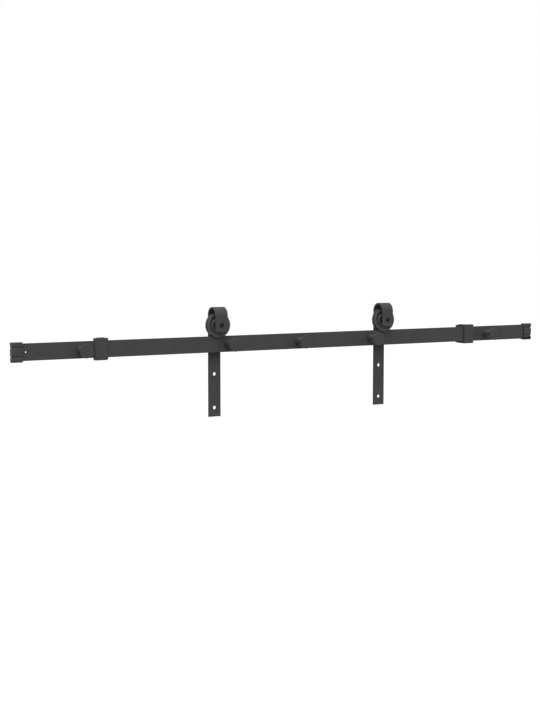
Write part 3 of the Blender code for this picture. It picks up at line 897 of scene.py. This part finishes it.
def make_bumper(side):
    """A rubber block. The face that meets the strap is slightly crowned."""
    node = f"stop_bumper_{side}"
    inward = 1 if side == "left" else -1
    place = middle(node)
    half = size(node) / 2
    outline = rounded(oblong(-half.y, -half.z, half.y, half.z), BUMPER_EDGE)
    bumper = plain_object(node, pushed(outline, -half.x, half.x, X), place)
    soften(bumper, CROSS_EDGE_SHARE * BUMPER_EDGE, 4)
    for point in bumper.data.vertices:
        if inward * point.co.x > half.x - BUMPER_EDGE:
            off_centre = max(abs(point.co.y) / half.y, abs(point.co.z) / half.z)
            point.co.x -= inward * BUMPER_CROWN * off_centre**2
    return stands_for(bumper, node)


for side in SIDES:
    make_bumper(side)
print("bumper:", triangles["stop_bumper_left"], "triangles")

# %% Build: stop screws
SCREW_PITCH = 0.001
SCREW_THREAD_DEPTH = 0.0005
SCREW_SOCKET = 0.003
SCREW_SOCKET_DEPTH = 0.003
CUP_SHARE = 0.55  # radius of the cup in the point, as a share of the screw's
POINT_SHARE = 0.8
END_SHARE = 0.85
CUP_DEPTH = 0.0006


def make_stop_screw(node):
    """A headless screw, threaded from end to end, with a cupped point and a hexagon socket."""
    place = middle(node)
    radius, half = size(node).x / 2, size(node).y / 2
    outline = [(0, CUP_DEPTH - half), (CUP_SHARE * radius, -half), (POINT_SHARE * radius, -half)]
    outline += thread_rows(radius, CUP_DEPTH - half, half - 0.0005, SCREW_PITCH)
    outline += [(END_SHARE * radius, half), (0, half)]
    shape = turned(outline, 40)
    cut_thread(shape, radius, -half, half, SCREW_PITCH, SCREW_THREAD_DEPTH)
    screw = plain_object(node, shape, place)
    cut(screw, pushed(hexagon(SCREW_SOCKET), half - SCREW_SOCKET_DEPTH, 2 * half, Y))
    return stands_for(screw, node)


for side in SIDES:
    for level in ("lower", "upper"):
        make_stop_screw(f"stop_screw_{side}_{level}")
print("stop screw:", triangles["stop_screw_left_lower"], "triangles")

# %% [markdown]
# ## Straps
#
# A strap is a flat bar bent over the wheel like a hook. Its long leg hangs on the room side and
# takes the door; its short tongue holds the other end of the axle and has a square end with
# rounded corners. The bar's middle line is a straight, half a circle and a straight, so a
# rectangle is carried along it, and gets narrower in the last few millimetres to make those
# corners. The axle hole, its recess and the door holes are cut after that, and the rounding comes
# last, so that one soft edge runs round everything, as a coated edge does.

# %% Build: straps
STRAP_THICKNESS = 0.004
STRAP_EDGE = 0.0008
ARCH_STEPS = 56
AXLE_BORE = 0.0053
HEAD_RECESS_RADIUS = 0.0065
HEAD_RECESS_DEPTH = 0.0032
TONGUE_END = 0.016  # below the axle
TONGUE_CORNER = 0.005
DOOR_HOLE_RADIUS = 0.0045
DOOR_HOLE_FROM_END = 0.0225
DOOR_HOLE_SPACING = 0.084


def strap_line(bottom, radius, rise, half_width):
    """The bar's middle line as (y, z, outward y, outward z, half width), from its lower end on."""
    line = [(radius, bottom, 1, 0, half_width)]
    for step in range(ARCH_STEPS + 1):
        turn = math.pi * step / ARCH_STEPS
        y, z = math.cos(turn), math.sin(turn)
        line.append((radius * y, rise + radius * z, y, z, half_width))
    for step in range(2 * CORNER_STEPS + 1):
        turn = math.pi / 2 * step / (2 * CORNER_STEPS)
        drop = TONGUE_END - TONGUE_CORNER * (1 - math.sin(turn))
        line.append((-radius, -drop, -1, 0, half_width - TONGUE_CORNER * (1 - math.cos(turn))))
    return line


def swept_bar(line, half_thickness):
    """A rectangle carried along a middle line."""
    shape = bmesh.new()
    rows = []
    for y, z, out_y, out_z, half_width in line:
        outer = (y + out_y * half_thickness, z + out_z * half_thickness)
        inner = (y - out_y * half_thickness, z - out_z * half_thickness)
        corners = [(-half_width, *outer), (half_width, *outer)]
        corners += [(half_width, *inner), (-half_width, *inner)]
        rows.append([shape.verts.new(corner) for corner in corners])
    for first, second in zip(rows, rows[1:]):
        band(shape, first, second)
    shape.faces.new(rows[0])
    shape.faces.new(rows[-1])
    return shape


def make_strap(side):
    node = f"strap_{side}"
    low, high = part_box(node)
    place = axles[side]
    half_width = size(node).x / 2
    outer_face = high.y - place.y
    inner_face = outer_face - STRAP_THICKNESS
    bottom = low.z - place.z
    rise = high.z - place.z - outer_face
    line = strap_line(bottom, outer_face - STRAP_THICKNESS / 2, rise, half_width)
    strap = plain_object(node, swept_bar(line, STRAP_THICKNESS / 2), place)
    recess_floor = HEAD_RECESS_DEPTH - outer_face
    axle_drill = [
        (0, -2 * outer_face),
        (HEAD_RECESS_RADIUS, -2 * outer_face),
        (HEAD_RECESS_RADIUS, recess_floor),
        (AXLE_BORE, recess_floor),
        (AXLE_BORE, 2 * outer_face),
        (0, 2 * outer_face),
    ]
    door_holes = [bottom + DOOR_HOLE_FROM_END, bottom + DOOR_HOLE_FROM_END + DOOR_HOLE_SPACING]
    drills = [rod(DOOR_HOLE_RADIUS, inner_face / 2, 2 * outer_face, 0, z) for z in door_holes]
    cut(strap, joined([turned(axle_drill, 64), *drills]))
    soften(strap, STRAP_EDGE)
    return stands_for(strap, node)


for side in SIDES:
    make_strap(side)
print("strap:", triangles["strap_left"], "triangles")

# %% [markdown]
# ## Wheels
#
# A wheel is turned with a flange on each side of its groove, so it can't leave the rail. The sides
# are dished: a rim outside, a thin web, and a boss in the middle that holds the bearing. The boss
# has a sloping side, as a cast one needs to leave its mould. It is one outline with round corners
# and fillets, and its mirror image.

# %% Build: wheels
BEARING_SEAT = 0.0133
BOSS_RADIUS = 0.0192  # where it meets the web
BOSS_FACE_RADIUS = 0.0162
BOSS_HALF_WIDTH = 0.0072
WEB_HALF_WIDTH = 0.004
RIM_INNER_RADIUS = 0.0243
GROOVE_CLEARANCE = 0.0007  # on each side of the rail
GROOVE_HALF_FLOOR = size("rail").y / 2 + GROOVE_CLEARANCE
GROOVE_FLARE = 0.001
DISH_FILLET = 0.0012


def make_wheel(side):
    node = f"wheel_{side}"
    flange, half_width = size(node).z / 2, size(node).y / 2
    half = [
        (BEARING_SEAT, -BOSS_HALF_WIDTH, 0.0004),
        (BOSS_FACE_RADIUS, -BOSS_HALF_WIDTH, 0.0006),
        (BOSS_RADIUS, -WEB_HALF_WIDTH, DISH_FILLET),
        (RIM_INNER_RADIUS, -WEB_HALF_WIDTH, DISH_FILLET),
        (RIM_INNER_RADIUS, -half_width, 0.0005),
        (flange, -half_width, 0.0009),
        (flange, -GROOVE_HALF_FLOOR - GROOVE_FLARE, 0.0006),
        (GROOVE_RADIUS, -GROOVE_HALF_FLOOR, 0.0007),
    ]
    outline = half + [(radius, -y, corner) for radius, y, corner in reversed(half)]
    return turned_piece(node, outline, 0, 144, axles[side])


for side in SIDES:
    make_wheel(side)
print("wheel:", triangles["wheel_left"], "triangles")

# %% [markdown]
# ## Ball bearings
#
# Each wheel turns on a ball bearing: an inner race on the axle, an outer race in the wheel, and
# eight balls between them, kept apart by a cage. A thin dished shield, pressed into each side of
# the outer race, keeps dirt off the balls and just clears the inner race. The cage is two thin
# steel ribbons that bend round every ball and meet between them. A ribbon is a closed loop, so its
# path is worked out by angle: near a ball it follows a circle round the ball, and elsewhere it
# lies flat against its twin.

# %% Build: bearing races
BALL_RADIUS = 0.0024
BALL_COUNT = 8
BALL_CIRCLE = 0.0091
RACE_STEPS = 14
INNER_SHOULDER = 0.0076
OUTER_SHOULDER = 0.0106
SHIELD_THICKNESS = 0.0002
SHIELD_SETBACK = 0.0003  # from the end of the races
SHIELD_DISH = 0.0003  # how much deeper its outer part lies


def raceway(shoulder, outward):
    """A ball groove in a race as (radius, y) points. outward is 1 for the outer race."""
    reach = BALL_RADIUS + GAP
    opening = math.acos(abs(shoulder - BALL_CIRCLE) / reach)
    turns = [opening * (2 * step / RACE_STEPS - 1) for step in range(RACE_STEPS + 1)]
    return [(BALL_CIRCLE + outward * reach * math.cos(t), reach * math.sin(t), 0) for t in turns]


def shield(half, sign):
    """A dished ring on one side of the balls, from the outer race almost to the inner one."""
    lip = half - SHIELD_SETBACK
    dish = lip - SHIELD_DISH
    line = [(INNER_SHOULDER + GAP, lip), (INNER_SHOULDER + 0.0012, lip)]
    line += [(INNER_SHOULDER + 0.0017, dish), (OUTER_SHOULDER + 0.0002, dish)]
    outline = line + [(radius, y - SHIELD_THICKNESS) for radius, y in reversed(line)]
    return turned([(radius, sign * y) for radius, y in outline], 96)


def make_race(node, side, shoulder, outward):
    """One race: a ring with the ball groove on the side that faces the balls."""
    half = size(node).y / 2
    seat = size(node).x / 2 if outward > 0 else AXLE_BORE
    outline = [(seat, -half), (shoulder, -half, 0.0002)] + raceway(shoulder, outward)
    outline += [(shoulder, half, 0.0002), (seat, half)]
    shapes = [turned(rounded(outline, 0.0004), 96)]
    if outward > 0:
        shapes += [shield(half, -1), shield(half, 1)]
    return stands_for(plain_object(node, joined(shapes), axles[side]), node)


for side in SIDES:
    make_race(f"bearing_inner_{side}", side, INNER_SHOULDER, -1)
    make_race(f"bearing_outer_{side}", side, OUTER_SHOULDER, 1)
print("race triangles:", triangles["bearing_inner_left"], triangles["bearing_outer_left"])

# %% Build: balls and cage
RIBBON_THICKNESS = 0.0003
RIBBON_HALF_WIDTH = 0.0011
RIBBON_CLEARANCE = 0.0001
RIBBON_STEPS = 36  # for each ball


def ribbon(sign):
    """One half of the cage, on the side of the balls that sign gives."""
    shape = bmesh.new()
    rows = []
    steps = BALL_COUNT * RIBBON_STEPS
    for step in range(steps):
        turn = math.tau * step / steps
        from_ball = BALL_CIRCLE * ((turn * BALL_COUNT / math.tau) % 1 - 0.5) * math.tau / BALL_COUNT
        bend = BALL_RADIUS + RIBBON_CLEARANCE
        inner = max(0.00002, math.sqrt(max(0.0, bend**2 - from_ball**2)))
        outer = math.sqrt(max(0.0, (bend + RIBBON_THICKNESS) ** 2 - from_ball**2))
        outer = max(inner + RIBBON_THICKNESS, outer)
        near, far = BALL_CIRCLE - RIBBON_HALF_WIDTH, BALL_CIRCLE + RIBBON_HALF_WIDTH
        section = ((near, inner), (far, inner), (far, outer), (near, outer))
        across, up = math.cos(turn), math.sin(turn)
        points = [(radius * across, sign * y, radius * up) for radius, y in section]
        rows.append([shape.verts.new(point) for point in points])
    for first, second in zip(rows, rows[1:] + rows[:1]):
        band(shape, first, second)
    return shape


def make_ball_cage(side):
    node = f"ball_cage_{side}"
    balls = bmesh.new()
    for number in range(BALL_COUNT):
        turn = math.tau * (number + 0.5) / BALL_COUNT
        place = Matrix.Translation((BALL_CIRCLE * math.cos(turn), 0, BALL_CIRCLE * math.sin(turn)))
        bmesh.ops.create_icosphere(balls, subdivisions=4, radius=BALL_RADIUS, matrix=place)
    cage = plain_object(node, joined([balls, ribbon(1), ribbon(-1)]), axles[side])
    return stands_for(cage, node)


for side in SIDES:
    make_ball_cage(side)
print("balls and cage:", triangles["ball_cage_left"], "triangles")

# %% [markdown]
# ## Axles
#
# The axle is a bolt with a thin head that sits in the tongue's recess, turned by a hexagon socket.
# It runs through two small tubes that centre the bearing, and a nut and a washer on the room side
# pull everything tight. The thread past the nut shows, so it is real geometry.

# %% Build: axle bolts
AXLE_RADIUS = 0.005
AXLE_PITCH = 0.0015
AXLE_THREAD_DEPTH = 0.0008
AXLE_HEAD_HEIGHT = 0.0011
AXLE_SOCKET = 0.007
AXLE_SOCKET_DEPTH = 0.0012
TIP_CHAMFER = 0.0008


def make_axle_bolt(side):
    node = f"axle_bolt_{side}"
    low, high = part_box(node)
    head_face, tip = low.y - RAIL_MIDDLE, high.y - RAIL_MIDDLE
    head_radius = size(node).x / 2
    thread_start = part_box(f"axle_washer_{side}")[0].y - RAIL_MIDDLE
    outline = [
        (0, head_face),
        *arc_corner((0, head_face), (head_radius, head_face), (head_radius, 0), 0.0003),
        (head_radius, head_face + AXLE_HEAD_HEIGHT),
        (AXLE_RADIUS, head_face + AXLE_HEAD_HEIGHT),
    ]
    outline += thread_rows(AXLE_RADIUS, thread_start, tip - TIP_CHAMFER, AXLE_PITCH)
    outline += [(AXLE_RADIUS - TIP_CHAMFER, tip), (0, tip)]
    shape = turned(outline, 64)
    cut_thread(shape, AXLE_RADIUS, thread_start, tip, AXLE_PITCH, AXLE_THREAD_DEPTH)
    bolt = plain_object(node, shape, axles[side])
    cut(bolt, pushed(hexagon(AXLE_SOCKET), 2 * head_face, head_face + AXLE_SOCKET_DEPTH, Y))
    return stands_for(bolt, node)


for side in SIDES:
    make_axle_bolt(side)
print("axle bolt:", triangles["axle_bolt_left"], "triangles")

# %% Build: axle nuts, washers and hub spacers
NUT_MOUTH = 0.0007  # how much wider the nut's bore is at each end
HUB_SPACER_EDGE = 0.0004


def make_axle_nut(side):
    node = f"axle_nut_{side}"
    place = middle(node)
    width, half = size(node).x, size(node).y / 2
    nut = plain_object(node, pushed(hexagon(width), -half, half, Y), place)
    cut(nut, turned_down(width, -half, half, both_ends=True), "INTERSECT")
    mouth = AXLE_BORE + NUT_MOUTH
    past = half + 0.001
    bore = [(0, -past), (mouth, -past), (mouth, -half), (AXLE_BORE, NUT_MOUTH - half)]
    bore += [(radius, -y) for radius, y in reversed(bore)]
    cut(nut, turned(bore, 64))
    soften(nut, HEX_EDGE, 2)
    return stands_for(nut, node)


def make_hub_spacer(node):
    place = middle(node)
    radius, half = size(node).x / 2, size(node).y / 2
    return turned_piece(node, oblong(AXLE_BORE, -half, radius, half), HUB_SPACER_EDGE, 80, place)


for side in SIDES:
    make_axle_nut(side)
    make_washer(f"axle_washer_{side}", AXLE_BORE)
    for end in ("wall", "room"):
        make_hub_spacer(f"hub_spacer_{end}_{side}")
print("axle nut:", triangles["axle_nut_left"], "triangles; all pieces:", sum(triangles.values()))

# %% [markdown]
# ## Floor, light and camera
#
# The rail hangs about two metres above the floor, so its shadow falls far below the picture. Rays
# from the camera, from glossy surfaces and through glass see the floor and the sky as white. The
# light that reaches the object by other rays is softer: a pale sky above, a dimmer floor below,
# and one large lamp from above and a little from the left, on the wall side. At that level a
# colour shows about as it is written. The floor can't be seen from beneath, so it doesn't block a
# view from below.

# %% Floor
FLOOR_HEIGHT = -2.05
FLOOR_SIZE = 60
FLOOR_GREY = (0.26, 0.26, 0.26)
FLOOR_GLOW = 0.7  # for the rays that see the floor, which makes it white
SKY_LIGHT = 0.8


def sees_background(tree):
    """1 for rays from the camera, from gloss or through glass, and 0 for all others."""
    path = tree.nodes.new("ShaderNodeLightPath").outputs
    seen = calculate(tree, "ADD", path["Is Camera Ray"], path["Is Glossy Ray"])
    seen = calculate(tree, "ADD", seen, path["Is Transmission Ray"])
    return calculate(tree, "MINIMUM", seen, 1.0)


floor_material = bpy.data.materials.new("pale floor")
floor_material.use_nodes = True
tree = floor_material.node_tree
shader = tree.nodes["Principled BSDF"]
shader.inputs["Base Color"].default_value = (*FLOOR_GREY, 1)
shader.inputs["Roughness"].default_value = 0.9
shader.inputs["Specular IOR Level"].default_value = 0.0
shader.inputs["Emission Color"].default_value = (1, 1, 1, 1)
glow = calculate(tree, "MULTIPLY", sees_background(tree), FLOOR_GLOW)
tree.links.new(glow, shader.inputs["Emission Strength"])
from_below = tree.nodes.new("ShaderNodeMixShader")
beneath = tree.nodes.new("ShaderNodeNewGeometry").outputs["Backfacing"]
tree.links.new(beneath, from_below.inputs["Fac"])
tree.links.new(shader.outputs["BSDF"], from_below.inputs[1])
tree.links.new(tree.nodes.new("ShaderNodeBsdfTransparent").outputs["BSDF"], from_below.inputs[2])
tree.links.new(from_below.outputs["Shader"], tree.nodes["Material Output"].inputs["Surface"])

half = FLOOR_SIZE / 2
floor_shape = bmesh.new()
corners = [floor_shape.verts.new((x, y, 0)) for x, y in oblong(-half, -half, half, half)]
floor_shape.faces.new(corners)
floor = plain_object("floor", floor_shape, (0, 0, FLOOR_HEIGHT))
floor.data.materials.append(floor_material)
print("floor normal:", tuple(floor.data.polygons[0].normal))

# %% Sky and lamp
LAMP_STRENGTH = 2.35
LAMP_SPREAD = 60  # degrees; a wide lamp gives soft shadows
LAMP_FROM = Vector((-0.27, -0.50, 0.80))

world = bpy.data.worlds.new("pale sky")
bpy.context.scene.world = world
world.use_nodes = True
tree = world.node_tree
background = tree.nodes["Background"]
background.inputs["Color"].default_value = (1, 1, 1, 1)
shown = calculate(tree, "MULTIPLY", sees_background(tree), 1 - SKY_LIGHT)
tree.links.new(calculate(tree, "ADD", shown, SKY_LIGHT), background.inputs["Strength"])

lamp_data = bpy.data.lights.new("soft lamp", "SUN")
lamp_data.energy = LAMP_STRENGTH
lamp_data.angle = math.radians(LAMP_SPREAD)
lamp = bpy.data.objects.new("soft lamp", lamp_data)
lamp.rotation_euler = LAMP_FROM.to_track_quat("Z", "Y").to_euler()
bpy.context.scene.collection.objects.link(lamp)
print("lamp from:", [round(part, 2) for part in LAMP_FROM])

# %% [markdown]
# The camera stands on the wall side, left of the rail and a little above it, and looks slightly
# down along the rail. A long lens keeps the perspective gentle.

# %% Camera
CAMERA_PLACE = (-1.6566, -2.6776, 0.2278)
CAMERA_TURN = 29.900  # degrees, to the right of +Y
CAMERA_TILT = 4.976  # degrees, below the horizon
LENS = 62.43  # mm, on a sensor 36 mm along the picture's longer side

camera_data = bpy.data.cameras.new("camera")
camera_data.lens = LENS
camera_data.sensor_width = 36
camera_data.clip_end = 200
camera = bpy.data.objects.new("camera", camera_data)
camera.location = CAMERA_PLACE
camera.rotation_euler = (math.radians(90 - CAMERA_TILT), 0, math.radians(-CAMERA_TURN))
bpy.context.scene.collection.objects.link(camera)
bpy.context.scene.camera = camera
bpy.context.scene.view_settings.view_transform = "Standard"

# %% [markdown]
# ## Finish
#
# The finished pieces have to fill the same box as the imported model. The last step brings the
# view layer up to date.

# %% Bring the scene up to date
bpy.context.view_layer.update()
